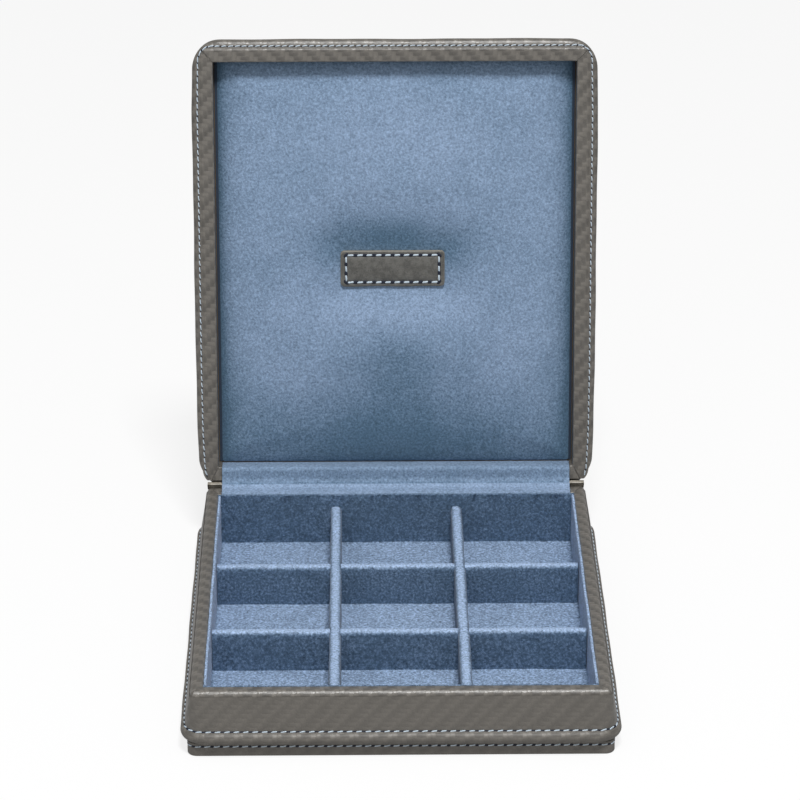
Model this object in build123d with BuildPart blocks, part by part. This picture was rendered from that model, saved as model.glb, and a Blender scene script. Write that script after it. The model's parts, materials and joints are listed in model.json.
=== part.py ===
from build123d import *
from dataclasses import dataclass
from math import cos, pi, sqrt
import os

os.makedirs("parts", exist_ok=True)

# A leather-covered box with a hinged lid, a tray of nine compartments and a padded lid.
# Millimetres. +X is right, +Y is the hinge side, +Z is up. The origin is the centre of the
# underside. The lid is modelled as it stands open on its hinge stop.

# ---- overall sizes -----------------------------------------------------------------------------
inner_width = 135.0          # opening of base and lid, left to right
inner_depth = 156.0          # opening of base and lid, front to rear
base_height = 24.0           # underside to rim
lid_thickness = 12.6         # rim to the top of the shut lid
open_angle = 98.0            # lid from closed to its stop
rim_gap = 0.3                # between the rims when the lid is shut

# ---- walls: a reach is how far something stands out from the edge of the opening ---------------
leather = 0.8                # thickness of the cover leather
rim_reach = 4.5              # rim fold, front and sides
rim_reach_rear = 7.0
rim_corner = 1.5             # corner radius in plan at the rim
rim_fold = 0.45              # bevel where the leather folds over the rim's outer edge
stitch_reach = 6.1           # foot of the flared wall, where the edge roll starts
stitch_reach_rear = 7.2
stitch_corner = 6.0
roll_reach = 8.2             # outermost line of the edge roll
roll_reach_rear = 8.4
roll_corner = 9.5
roll_height = 4.5
roll_rounding = 2.2
corner_cut = 0.6             # board corners are cut, by this share of the leather's radius
turn_in = 12.0               # how deep the leather folds down behind the liners
seam_drop = 0.3              # lid seam and edge roll, below the lid's rim

# ---- plinth under the base ---------------------------------------------------------------------
plinth_height = 5.0
plinth_reach = 5.7
plinth_corner = 5.5
plinth_edge = 0.4            # bevel of the plinth's lower edge
plinth_turn_in = 12.0        # width of the leather turned in under the base
plinth_cap = 4.0             # width of the leather lapped over the panel's upper edge
panel_thickness = 2.2

# ---- velvet tray -------------------------------------------------------------------------------
floor_pad = 0.7
liner = 1.2
liner_drop = 0.4             # liner tops below the rim
divider = 4.1
divider_height = 15.1        # above the floor
divider_rounding = 1.9
lap_clearance = 0.1          # in the half-laps and at the divider ends

# ---- lid panels and padding --------------------------------------------------------------------
lid_board = 2.0
lining_board = 0.8
cushion_edge_depth = 6.0     # rim to the cushion's edge
cushion_crown = 3.0
crown_shoulder = 0.8         # height of the crown's shoulder, as a share of the crown
crown_fade = 0.9             # share of the crown lost at the front and rear ends
cushion_roll = 1.4
end_roll_share = 0.95        # how far the rolled ends are drawn back, as a share of the roll
cushion_steps = 14           # sections along the cushion
cushion_clearance = 0.3
dimple_depth = 3.2           # how far the patch pulls the cushion in
dimple_flat_width = 43.0
dimple_flat_length = 17.0
dimple_length = 64.0
top_foam = 1.4               # between the lid board and the leather on top
foam_bevel = 1.3
top_reach = 5.0              # leather-covered top, behind the edge roll
top_corner = 5.0
top_rounding = 3.0

# ---- patch -------------------------------------------------------------------------------------
patch_width = 39.2
patch_height = 13.8
patch_thickness = 1.2
patch_corner = 1.5
patch_bevel = 0.3
patch_shift_x = -1.0
patch_shift_y = 1.7

# ---- hinge -------------------------------------------------------------------------------------
hinge_reach = 7.3            # pivot behind the opening
knuckle_count = 5
knuckle_radius = 1.1
knuckle_gap = 0.3
pin_radius = 0.6
pin_clearance = 0.05
leaf_thickness = 0.4
leaf_clearance = 0.15        # leaf edge to the other leaf's knuckles
flap_inset = 1.25            # flap ends from the ends of the opening
leaf_inset = 0.75            # leaf ends under the flap
flap_thickness = 0.4
flap_leg = 8.0               # how deep the velvet flap runs down inside
flap_clearance = 0.15
spine_reach = 4.0            # spine ends beyond the opening
spine_thickness = 0.35
spine_gap = 0.1              # running gap round each layer of the spine
spine_tail = 10.0            # degrees the spine tucks past the wall
base_spine_end = -16.0       # degrees about the pivot
lid_spine_end = 10.0


# ---- shared geometry ---------------------------------------------------------------------------
hinge_y = inner_depth / 2 + hinge_reach
flap_width = inner_width - 2 * flap_inset
hinge_length = flap_width - 2 * leaf_inset
spine_length = inner_width + 2 * spine_reach
hinge_turn = Location((0, hinge_y, base_height + rim_gap / 2), (-open_angle, 0, 0))
lid_frame = Plane(hinge_turn * Location((0, -hinge_y, rim_gap / 2)))


@dataclass
class BoxHalf:
    """Base or lid, with depths measured from its rim plane into the half."""

    name: str
    rim: Plane
    sense: int

    def level(self, depth):
        return self.rim.offset(self.sense * depth)

    def section(self, x):
        """A plane across the half: first axis to the rear, second along the rim's normal."""
        origin = self.rim.from_local_coords(Vector(x, 0, 0))
        return Plane(origin, x_dir=self.rim.y_dir, z_dir=self.rim.x_dir)

    def pivot(self, x=0):
        """The same plane, with its origin on the hinge axis."""
        origin = self.section(x).from_local_coords(Vector(hinge_y, -self.sense * rim_gap / 2, 0))
        return Plane(origin, x_dir=self.rim.y_dir, z_dir=self.rim.x_dir)

    def across(self, y):
        """A plane from left to right: first axis to the right, second into the half."""
        origin = self.rim.from_local_coords(Vector(0, y, 0))
        return Plane(origin, x_dir=self.rim.x_dir, z_dir=self.rim.y_dir * -self.sense)

    def axis(self):
        return Axis(self.rim.origin, self.rim.z_dir * self.sense)


base = BoxHalf("base", Plane.XY.offset(base_height), -1)
lid = BoxHalf("lid", lid_frame, 1)
wall_depth = base_height - plinth_height     # base rim to plinth
foot_depth = wall_depth - roll_height        # base rim to the seam over the edge roll
lid_board_back = lid_thickness - leather - top_foam
lid_board_front = lid_board_back - lid_board
lining_front = lid_board_front - lining_board


def finish(piece, name):
    piece.part.label = name
    export_step(piece.part, f"parts/{name}.step")


def outline(level, reach, rear_reach, corner):
    """A rounded rectangle that stands out round the opening."""
    with BuildSketch(level) as profile:
        with Locations((0, (rear_reach - reach) / 2)):
            RectangleRounded(
                inner_width + 2 * reach, inner_depth + reach + rear_reach, corner
            )
    return profile.sketch


def core_outline(level, reach, rear_reach, corner):
    """The same under the leather, where the corners are cut straight to let it turn."""
    with BuildSketch(level) as profile:
        with Locations((0, (rear_reach - reach) / 2)):
            Rectangle(inner_width + 2 * reach, inner_depth + reach + rear_reach)
        chamfer(profile.vertices(), corner * corner_cut)
    return profile.sketch


def plain_outline(level, reach):
    """A square-cornered rectangle round the opening."""
    with BuildSketch(level) as profile:
        Rectangle(inner_width + 2 * reach, inner_depth + 2 * reach)
    return profile.sketch


def opening_cut(half, reach, start, end):
    """Cut the opening, widened by reach, between two depths."""
    profile = plain_outline(half.level(start), reach)
    extrude(profile, amount=half.sense * (end - start), mode=Mode.SUBTRACT)


def slope(half, upper, upper_depth, lower, lower_depth, mode=Mode.ADD):
    """Join two outlines at two depths with straight sides."""
    loft([upper(half.level(upper_depth)), lower(half.level(lower_depth))], ruled=True, mode=mode)


def bevelled_rim(level):
    bevelled = rim_reach - rim_fold, rim_reach_rear - rim_fold, rim_corner - rim_fold
    return outline(level, *bevelled)


def rim_outline(level):
    """Where the leather folds over the outer edge of the rim."""
    return outline(level, rim_reach, rim_reach_rear, rim_corner)


def seam_outline(level):
    """Where the stitched seam joins the cover to the edge roll."""
    return outline(level, stitch_reach, stitch_reach_rear, stitch_corner)


def board_outline(level):
    """The outside of the base's boards under the rim's leather."""
    return core_outline(level, rim_reach - leather, rim_reach_rear - leather, rim_corner)


def foot_outline(level):
    """The outside of the base's boards where the edge roll goes round them."""
    reach_rear = stitch_reach_rear - leather
    return core_outline(level, stitch_reach - leather, reach_rear, stitch_corner)


def lid_core_outline(level):
    """The outside of the lid's boards."""
    return core_outline(level, top_reach - leather, top_reach - leather, top_corner)


def cove(half, radius):
    """Clear the round space that the hinge and its leather turn in."""
    with BuildSketch(half.pivot()) as round_space:
        Circle(radius)
    extrude(round_space.sketch, amount=inner_width, both=True, mode=Mode.SUBTRACT)


spine_inner = {"base": knuckle_radius + spine_gap}
spine_inner["lid"] = spine_inner["base"] + spine_thickness + spine_gap
cove_radius = {name: radius + spine_thickness + spine_gap for name, radius in spine_inner.items()}


# ---- wall boards, mitred at the corners ----------------------------------------------------------
def mitre_zone(side, rear_share):
    """The plan area that one wall board fills. rear_share is rear over side thickness."""
    half_x = inner_width / 2 + leather
    half_y = inner_depth / 2 + leather
    run = roll_reach
    inner = {
        "front_left": (-half_x, -half_y),
        "front_right": (half_x, -half_y),
        "rear_right": (half_x, half_y),
        "rear_left": (-half_x, half_y),
    }
    outer = {
        "front_left": (-half_x - run, -half_y - run),
        "front_right": (half_x + run, -half_y - run),
        "rear_right": (half_x + run, half_y + run * rear_share),
        "rear_left": (-half_x - run, half_y + run * rear_share),
    }
    ends = {
        "front": ("front_left", "front_right"),
        "right": ("front_right", "rear_right"),
        "rear": ("rear_right", "rear_left"),
        "left": ("rear_left", "front_left"),
    }
    first, second = ends[side]
    return inner[first], inner[second], outer[second], outer[first]


def mitred(half, depth, side, rear_share):
    """Keep one side's share of a ring of boards."""
    with BuildSketch(half.level(0)) as zone:
        with BuildLine():
            Polyline(*mitre_zone(side, rear_share), close=True)
        make_face()
    extrude(zone.sketch, amount=half.sense * depth, mode=Mode.INTERSECT)


def base_wall_board(side):
    with BuildPart() as board:
        slope(base, board_outline, leather, foot_outline, foot_depth)
        extrude(foot_outline(base.level(foot_depth)), amount=-roll_height)
        opening_cut(base, leather, 0, wall_depth)
        mitred(base, wall_depth, side, (rim_reach_rear - leather) / (rim_reach - leather))
        cove(base, cove_radius["base"])
    finish(board, f"base_{side}_board")


def lid_wall_board(side):
    with BuildPart() as board:
        extrude(lid_core_outline(lid.level(leather)), amount=lid_board_back - leather)
        opening_cut(lid, leather, 0, lid_board_back)
        mitred(lid, lid_board_back, side, 1)
    finish(board, f"lid_{side}_board")


for side in ("front", "rear", "left", "right"):
    base_wall_board(side)
    lid_wall_board(side)


# ---- leather covers over walls and rims ------------------------------------------------------------
def turn_leather_in(half, depth):
    """Fold the cover down inside the opening, and leave the hinge's place free at the rear."""
    folded_down = plain_outline(half.level(leather), leather)
    extrude(folded_down, amount=half.sense * (depth - leather))
    opening_cut(half, 0, 0, base_height)
    with BuildSketch(half.level(0)) as hinge_place:
        with Locations((0, inner_depth / 2 + (rim_reach_rear - leather) / 2)):
            Rectangle(flap_width + 2 * flap_clearance, rim_reach_rear - leather)
    extrude(hinge_place.sketch, amount=half.sense * depth, mode=Mode.SUBTRACT)
    cove(half, cove_radius[half.name])


with BuildPart() as base_leather_cover:
    slope(base, bevelled_rim, 0, rim_outline, rim_fold)
    slope(base, rim_outline, rim_fold, seam_outline, foot_depth)
    slope(base, board_outline, leather, foot_outline, foot_depth, mode=Mode.SUBTRACT)
    turn_leather_in(base, turn_in)
finish(base_leather_cover, "base_leather_cover")

with BuildPart() as lid_leather_cover:
    slope(lid, rim_outline, 0, seam_outline, seam_drop)
    extrude(seam_outline(lid.level(seam_drop)), amount=leather - seam_drop)
    turn_leather_in(lid, lid_board_front)
finish(lid_leather_cover, "lid_leather_cover")


# ---- stitched edge rolls: round the foot of the base, and round the rim of the lid -----------------
def rolled_edge(half, depth):
    outside = outline(half.level(depth), roll_reach, roll_reach_rear, roll_corner)
    extrude(outside, amount=half.sense * roll_height)
    fillet(edges().group_by(half.axis())[0], roll_rounding)
    fillet(edges().group_by(half.axis())[-1], roll_rounding)


with BuildPart() as base_edge_roll:
    rolled_edge(base, foot_depth)
    extrude(foot_outline(base.level(foot_depth)), amount=-roll_height, mode=Mode.SUBTRACT)
finish(base_edge_roll, "base_edge_roll")

with BuildPart() as lid_edge_roll:
    rolled_edge(lid, seam_drop)
    extrude(lid_core_outline(lid.level(0)), amount=wall_depth, mode=Mode.SUBTRACT)
    extrude(seam_outline(lid.level(0)), amount=leather, mode=Mode.SUBTRACT)
    cove(lid, cove_radius["lid"])
finish(lid_edge_roll, "lid_edge_roll")


# ---- plinth: a recessed panel wrapped in leather, with felt underneath -------------------------
panel_top = leather + panel_thickness
panel_rim = plinth_height - leather
floor_level = panel_top + floor_pad

panel_reach = plinth_reach - leather
panel_outline = core_outline(Plane.XY.offset(leather), panel_reach, panel_reach, plinth_corner)

with BuildPart() as plinth_panel:
    extrude(panel_outline, amount=panel_rim - leather)
    recess = plain_outline(Plane.XY.offset(panel_top), leather)
    extrude(recess, amount=panel_rim - panel_top, mode=Mode.SUBTRACT)
finish(plinth_panel, "plinth_panel")

with BuildPart() as plinth_leather:
    outside = outline(Plane.XY, plinth_reach, plinth_reach, plinth_corner)
    extrude(outside, amount=plinth_height)
    chamfer(edges().group_by(Axis.Z)[0], plinth_edge)
    extrude(panel_outline, amount=panel_rim - leather, mode=Mode.SUBTRACT)
    cap_edge = plain_outline(Plane.XY.offset(panel_rim), panel_reach - plinth_cap)
    extrude(cap_edge, amount=leather, mode=Mode.SUBTRACT)
    felt_space = plain_outline(Plane.XY, plinth_reach - plinth_turn_in)
    extrude(felt_space, amount=leather, mode=Mode.SUBTRACT)
finish(plinth_leather, "plinth_leather")

with BuildPart() as underside_felt:
    felt = plain_outline(Plane.XY, plinth_reach - plinth_turn_in)
    extrude(felt, amount=leather)
finish(underside_felt, "underside_felt")


# ---- velvet tray -------------------------------------------------------------------------------
liner_top = base_height - liner_drop
tray_width = inner_width - 2 * liner
tray_depth = inner_depth - 2 * liner

with BuildPart() as tray_floor_pad:
    pad = plain_outline(Plane.XY.offset(panel_top), leather)
    extrude(pad, amount=floor_pad)
finish(tray_floor_pad, "tray_floor_pad")


def tray_liner(name, x, y, size_x, size_y):
    with BuildPart() as wall_liner:
        with BuildSketch(Plane.XY.offset(floor_level)):
            with Locations((x, y)):
                Rectangle(size_x, size_y)
        extrude(amount=liner_top - floor_level)
    finish(wall_liner, f"tray_{name}_liner")


liner_x = (inner_width - liner) / 2
liner_y = (inner_depth - liner) / 2
tray_liner("front", 0, -liner_y, inner_width, liner)
tray_liner("rear", 0, liner_y, inner_width, liner)
tray_liner("left", -liner_x, 0, liner, tray_depth)
tray_liner("right", liner_x, 0, liner, tray_depth)


# ---- dividers: padded strips with rounded tops, half-lapped where they cross -------------------
divider_x = (tray_width + divider) / 6      # centre of each long divider from the middle
divider_y = (tray_depth + divider) / 6
lap_level = floor_level + divider_height / 2
lap_width = divider + 2 * lap_clearance


def divider_strip(name, plane, length, lap_spacing, cut_from, cut_height):
    """plane stands across the strip, with its second axis up from the floor."""
    with BuildPart() as strip:
        with BuildSketch(plane):
            with Locations((0, divider_height / 2)):
                strip_face = Rectangle(divider, divider_height)
            fillet(strip_face.vertices().group_by(Axis.Y)[-1], divider_rounding)
        extrude(amount=length / 2 - lap_clearance, both=True)
        # The laps lie at the same distance on both sides of the middle.
        for side in (-1, 1):
            centre = plane.origin + plane.z_dir * side * lap_spacing
            with BuildSketch(Plane(centre, x_dir=plane.x_dir, z_dir=plane.z_dir)):
                with Locations((0, cut_from + cut_height / 2)):
                    Rectangle(2 * divider, cut_height)
            extrude(amount=lap_width / 2, both=True, mode=Mode.SUBTRACT)
    finish(strip, name)


lap_height = divider_height / 2
for name, side in (("left", -1), ("right", 1)):
    long_plane = Plane(
        (side * divider_x, 0, floor_level), x_dir=(1, 0, 0), z_dir=(0, -1, 0)
    )
    divider_strip(f"long_divider_{name}", long_plane, tray_depth, divider_y, 0, lap_height)
for name, side in (("front", -1), ("rear", 1)):
    cross_plane = Plane(
        (0, side * divider_y, floor_level), x_dir=(0, 1, 0), z_dir=(1, 0, 0)
    )
    divider_strip(
        f"cross_divider_{name}", cross_plane, tray_width, divider_x, lap_height, divider_height
    )


# ---- lid panels --------------------------------------------------------------------------------
with BuildPart() as lid_top_board:
    panel = plain_outline(lid.level(lid_board_front), leather)
    extrude(panel, amount=lid_board)
finish(lid_top_board, "lid_top_board")

with BuildPart() as lid_lining_board:
    card = plain_outline(lid.level(lining_front), -cushion_clearance)
    extrude(card, amount=lining_board)
finish(lid_lining_board, "lid_lining_board")


# ---- stuffed pads: cross-sections from front to rear, lofted -----------------------------------
def pad_section(plane, half_width, back, edge, crown, roll, flat, dip):
    """Flat back, rolled edges and a crowned face, which a dip pulls in at the middle."""
    out = 1 if edge > back else -1
    middle = edge + out * (crown - dip)
    shoulder = edge + out * crown * crown_shoulder
    shoulder_x = (half_width - roll + flat) / 2
    roll_mid = roll * (1 - cos(pi / 4))
    with BuildSketch(plane) as section:
        with BuildLine():
            Line((half_width, back), (-half_width, back))
            Line((half_width, back), (half_width, edge - out * roll))
            ThreePointArc(
                (half_width, edge - out * roll),
                (half_width - roll_mid, edge - out * roll_mid),
                (half_width - roll, edge),
            )
            ThreePointArc((half_width - roll, edge), (shoulder_x, shoulder), (flat, middle))
            Line((flat, middle), (-flat, middle))
            ThreePointArc((-flat, middle), (-shoulder_x, shoulder), (roll - half_width, edge))
            ThreePointArc(
                (roll - half_width, edge),
                (roll_mid - half_width, edge - out * roll_mid),
                (-half_width, edge - out * roll),
            )
            Line((-half_width, edge - out * roll), (-half_width, back))
        make_face()
    return section.sketch


def dimple(y):
    """The dip at y: full over the patch, fading to nothing at the dimple's ends."""
    beyond = abs(y - patch_shift_y) - dimple_flat_length / 2
    fade = min(max(beyond / ((dimple_length - dimple_flat_length) / 2), 0), 1)
    return dimple_depth * (1 + cos(pi * fade)) / 2


def cushion_sections():
    """All sections of the cushion, front to rear, with its end edges rolled back."""
    half_length = inner_depth / 2 - cushion_clearance
    inner_length = half_length - cushion_roll
    roll_mid = cushion_roll * (1 - cos(pi / 4))
    places = [-half_length, roll_mid - half_length]
    places += [inner_length * (2 * step / cushion_steps - 1) for step in range(cushion_steps + 1)]
    places += [half_length - roll_mid, half_length]
    sections = []
    for y in places:
        from_end = half_length - abs(y)
        drawn_back = cushion_roll - sqrt(cushion_roll ** 2 - max(cushion_roll - from_end, 0) ** 2)
        drawn_back = min(drawn_back, end_roll_share * cushion_roll)
        sections.append(
            pad_section(
                lid.across(y),
                inner_width / 2 - cushion_clearance,
                lining_front,
                cushion_edge_depth + drawn_back,
                cushion_crown * (1 - crown_fade * (y / half_length) ** 2),
                cushion_roll - drawn_back,
                dimple_flat_width / 2,
                dimple(y),
            )
        )
    return sections


with BuildPart() as lid_cushion:
    loft(cushion_sections(), ruled=True)
finish(lid_cushion, "lid_cushion")

patch_back = cushion_edge_depth - cushion_crown + dimple_depth - cushion_clearance
with BuildPart() as name_patch:
    with BuildSketch(lid.level(patch_back)):
        with Locations((patch_shift_x, patch_shift_y)):
            RectangleRounded(patch_width, patch_height, patch_corner)
    extrude(amount=-patch_thickness)
    chamfer(edges().group_by(lid.axis())[0], patch_bevel)
finish(name_patch, "name_patch")


# ---- padded leather top of the lid -------------------------------------------------------------
with BuildPart() as lid_top_padding:
    extrude(lid_core_outline(lid.level(lid_board_back)), amount=top_foam)
    chamfer(edges().group_by(lid.axis())[-1], foam_bevel)
finish(lid_top_padding, "lid_top_padding")

with BuildPart() as lid_top_leather:
    roll_back = seam_drop + roll_height
    wrapped = outline(lid.level(roll_back), top_reach, top_reach, top_corner)
    extrude(wrapped, amount=lid_thickness - roll_back)
    fillet(edges().group_by(lid.axis())[-1], top_rounding)
    boards = lid_core_outline(lid.level(roll_back))
    extrude(boards, amount=lid_board_back - roll_back, mode=Mode.SUBTRACT)
    add(lid_top_padding.part, mode=Mode.SUBTRACT)
finish(lid_top_leather, "lid_top_leather")


# ---- hinge: two leaves with knuckles on one pin, hidden under velvet and leather ---------------
knuckle_pitch = hinge_length / knuckle_count


def hinge_leaf(half, first_knuckle):
    leaf_front = inner_depth / 2 + leather
    leaf_rear = hinge_y - knuckle_radius - leaf_clearance
    leaf_mid = half.sense * (leather - leaf_thickness / 2)
    with BuildPart() as leaf:
        with BuildSketch(half.section(0)):
            with Locations(((leaf_front + leaf_rear) / 2, leaf_mid)):
                Rectangle(leaf_rear - leaf_front, leaf_thickness)
        extrude(amount=hinge_length / 2, both=True)
        for index in range(first_knuckle, knuckle_count, 2):
            x = (index - (knuckle_count - 1) / 2) * knuckle_pitch
            with BuildSketch(half.section(x)):
                with Locations(((leaf_front + hinge_y) / 2, leaf_mid)):
                    Rectangle(hinge_y - leaf_front, leaf_thickness)
            with BuildSketch(half.pivot(x)):
                Circle(knuckle_radius)
            extrude(amount=(knuckle_pitch - knuckle_gap) / 2, both=True)
        with BuildSketch(half.pivot()):
            Circle(pin_radius + pin_clearance)
        extrude(amount=hinge_length, both=True, mode=Mode.SUBTRACT)
    finish(leaf, f"hinge_leaf_{half.name}")


hinge_leaf(base, 0)
hinge_leaf(lid, 1)

with BuildPart() as hinge_pin:
    with BuildSketch(base.pivot()):
        Circle(pin_radius)
    extrude(amount=hinge_length / 2, both=True)
finish(hinge_pin, "hinge_pin")


# ---- velvet flap over each leaf, turned down inside --------------------------------------------
def hinge_flap(half):
    flap_front = inner_depth / 2
    flap_rear = hinge_y - knuckle_radius - leaf_clearance
    with BuildPart() as flap:
        with BuildSketch(half.section(0)):
            with Locations(((flap_front + flap_rear) / 2, half.sense * flap_thickness / 2)):
                Rectangle(flap_rear - flap_front, flap_thickness)
            with Locations((flap_front + flap_thickness / 2, half.sense * flap_leg / 2)):
                Rectangle(flap_thickness, flap_leg)
        extrude(amount=flap_width / 2, both=True)
    finish(flap, f"hinge_flap_{half.name}")


# ---- leather spine: two layers that slide over one another round the hinge ---------------------
def spine_leather(half, start_angle, end_angle):
    """Angles are about the pivot of the shut box: 0 points to the rear and 90 up."""
    inner = spine_inner[half.name]
    outer = inner + spine_thickness
    with BuildPart() as spine:
        with BuildSketch(half.pivot()):
            with BuildLine():
                arc = CenterArc((0, 0), inner, start_angle, end_angle - start_angle)
                CenterArc((0, 0), outer, start_angle, end_angle - start_angle)
                Line(arc @ 0, (arc @ 0) * (outer / inner))
                Line(arc @ 1, (arc @ 1) * (outer / inner))
            make_face()
        extrude(amount=spine_length / 2, both=True)
    finish(spine, f"spine_leather_{half.name}")


for half in (base, lid):
    hinge_flap(half)
spine_leather(base, -90 - spine_tail, base_spine_end)
spine_leather(lid, lid_spine_end, 90 + spine_tail)
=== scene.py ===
import json
from math import cos, pi, radians, sin

import bmesh
import bpy
import numpy as np
from mathutils import Matrix, Vector


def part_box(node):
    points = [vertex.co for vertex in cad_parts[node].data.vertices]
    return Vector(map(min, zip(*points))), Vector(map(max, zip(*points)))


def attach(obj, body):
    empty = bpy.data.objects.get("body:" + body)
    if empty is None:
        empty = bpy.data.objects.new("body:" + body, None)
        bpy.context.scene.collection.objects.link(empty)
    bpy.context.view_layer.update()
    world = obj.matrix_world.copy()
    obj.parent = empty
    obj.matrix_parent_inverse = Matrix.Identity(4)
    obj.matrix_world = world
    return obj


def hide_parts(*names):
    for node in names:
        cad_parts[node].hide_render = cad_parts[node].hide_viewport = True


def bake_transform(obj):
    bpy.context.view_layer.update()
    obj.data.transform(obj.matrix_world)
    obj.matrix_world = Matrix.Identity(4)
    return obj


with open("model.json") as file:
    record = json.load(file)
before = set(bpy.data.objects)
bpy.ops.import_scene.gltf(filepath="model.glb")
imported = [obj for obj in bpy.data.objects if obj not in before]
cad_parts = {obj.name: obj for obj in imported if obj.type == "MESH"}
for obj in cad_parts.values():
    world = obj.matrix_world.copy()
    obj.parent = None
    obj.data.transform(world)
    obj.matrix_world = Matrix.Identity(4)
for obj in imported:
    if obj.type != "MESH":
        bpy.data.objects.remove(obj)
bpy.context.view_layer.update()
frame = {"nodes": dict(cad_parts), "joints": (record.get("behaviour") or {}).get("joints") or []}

# Looks of a leather-covered box with a hinged lid, a velvet tray and a padded lid.
# Shapes are worked out in millimetres, in each half's own coordinates: x to the right,
# y to the hinge side, and depth from the rim plane into the base or into the lid.

MM = 0.001


# ---- sizes taken from the frame ----
def corners(node):
    """Lowest and highest corner of a node, in millimetres."""
    low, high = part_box(node)
    return np.array(low) / MM, np.array(high) / MM


inner_width = 2 * corners("tray_front_liner")[1][0]
inner_depth = 2 * corners("tray_rear_liner")[1][1]
half_width = inner_width / 2
half_depth = inner_depth / 2
base_height = corners("base_leather_cover")[1][2]
plinth_height = corners("plinth_leather")[1][2]
floor_level = corners("tray_floor_pad")[1][2]
seam_reach = corners("base_leather_cover")[1][0] - half_width
seam_reach_rear = corners("base_leather_cover")[1][1] - half_depth
roll_reach = corners("base_edge_roll")[1][0] - half_width
roll_reach_rear = corners("base_edge_roll")[1][1] - half_depth
roll_height = corners("base_edge_roll")[1][2] - plinth_height
plinth_reach = corners("plinth_leather")[1][0] - half_width
top_reach = corners("lid_top_leather")[1][0] - half_width
flap_half_width = corners("hinge_flap_base")[1][0]
spine_half_width = corners("spine_leather_base")[1][0]

hinge = frame["joints"][0]
pivot_y = hinge["pos_m"][1] / MM
pivot_z = hinge["pos_m"][2] / MM
open_angle = radians(hinge["range_deg"][1])
rim_gap = 2 * (pivot_z - base_height)

# ---- sizes of the leather work ----
leather = 0.75
rim_reach = 4.5
rim_reach_rear = 7.0
rim_corner = 1.5
seam_corner = 6.0
roll_corner = 9.5
plinth_corner = 3.4
top_corner = 5.0
wall_depth = base_height - plinth_height
foot_depth = wall_depth - roll_height
seam_drop = 0.3              # lid seam below the lid's rim
lid_thickness = 12.6
lid_board_front = 8.4
top_rounding = 3.0
base_cove = 1.65             # round spaces that the hinge turns in
lid_cove = 2.1
stitch_pitch = 3.22

# ---- sizes of the velvet work ----
liner = 1.2
liner_top = corners("tray_front_liner")[1][2] + 0.2    # with its pile
liner_pile = 0.3             # what the visible liner is thinner than its board
divider_top = corners("long_divider_left")[1][2] + 0.3    # with its pile
divider = corners("long_divider_left")[1][0] - corners("long_divider_left")[0][0]
divider_x = corners("long_divider_right")[1][0] - divider / 2
divider_y = corners("cross_divider_rear")[1][1] - divider / 2
cushion_edge = 6.0
cushion_back = 7.55
cushion_crown = 3.0
dimple_depth = 3.1
patch_x, patch_y = -1.0, 1.7
patch_width, patch_height = 39.2, 13.8
patch_face = 4.7


# ---- the two halves ----
class Half:
    """Base or lid, with the way from its own coordinates to the shared frame."""

    def __init__(self, name, matrix, cove):
        self.name = name
        self.matrix = matrix
        self.cove = cove


flip = Matrix.Diagonal((1, 1, -1, 1))
to_metres = Matrix.Scale(MM, 4)
base = Half("base", to_metres @ Matrix.Translation((0, 0, base_height)) @ flip, base_cove)
lid = Half(
    "lid",
    to_metres
    @ Matrix.Translation((0, pivot_y, pivot_z))
    @ Matrix.Rotation(-open_angle, 4, "X")
    @ Matrix.Translation((0, -pivot_y, rim_gap / 2)),
    lid_cove,
)


# ---- node arithmetic ----
class Wire:
    """An output socket that Python's operators work on."""

    def __init__(self, builder, socket):
        self.builder = builder
        self.socket = socket

    def maths(self, operation, *others):
        return self.builder.maths(operation, self, *others)

    def __add__(self, other):
        return self.maths("ADD", other)

    def __sub__(self, other):
        return self.maths("SUBTRACT", other)

    def __rsub__(self, other):
        return self.builder.maths("SUBTRACT", other, self)

    def __mul__(self, other):
        return self.maths("MULTIPLY", other)

    def __truediv__(self, other):
        return self.maths("DIVIDE", other)

    def __mod__(self, other):
        return self.maths("FLOORED_MODULO", other)

    def __lt__(self, other):
        return self.maths("LESS_THAN", other)

    __radd__ = __add__
    __rmul__ = __mul__

    def floor(self):
        return self.maths("FLOOR")

    def sine(self):
        return self.maths("SINE")


class NodeBuilder:
    """Adds nodes to a tree and wires them up."""

    def __init__(self, tree):
        self.tree = tree

    def node(self, kind, settings=None, inputs=None, output=0):
        """Add a node, set its settings, then fill its sockets with values or wires."""
        added = self.tree.nodes.new(kind)
        for key, value in (settings or {}).items():
            setattr(added, key, value)
        for key, value in (inputs or {}).items():
            self.fill(added.inputs[key], value)
        return Wire(self, added.outputs[output])

    def fill(self, socket, value):
        if isinstance(value, Wire):
            self.tree.links.new(value.socket, socket)
        else:
            socket.default_value = value

    def maths(self, operation, *values):
        return self.node("ShaderNodeMath", {"operation": operation}, dict(enumerate(values)))

    def vector(self, *values):
        return self.node("ShaderNodeCombineXYZ", None, dict(enumerate(values)))


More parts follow.
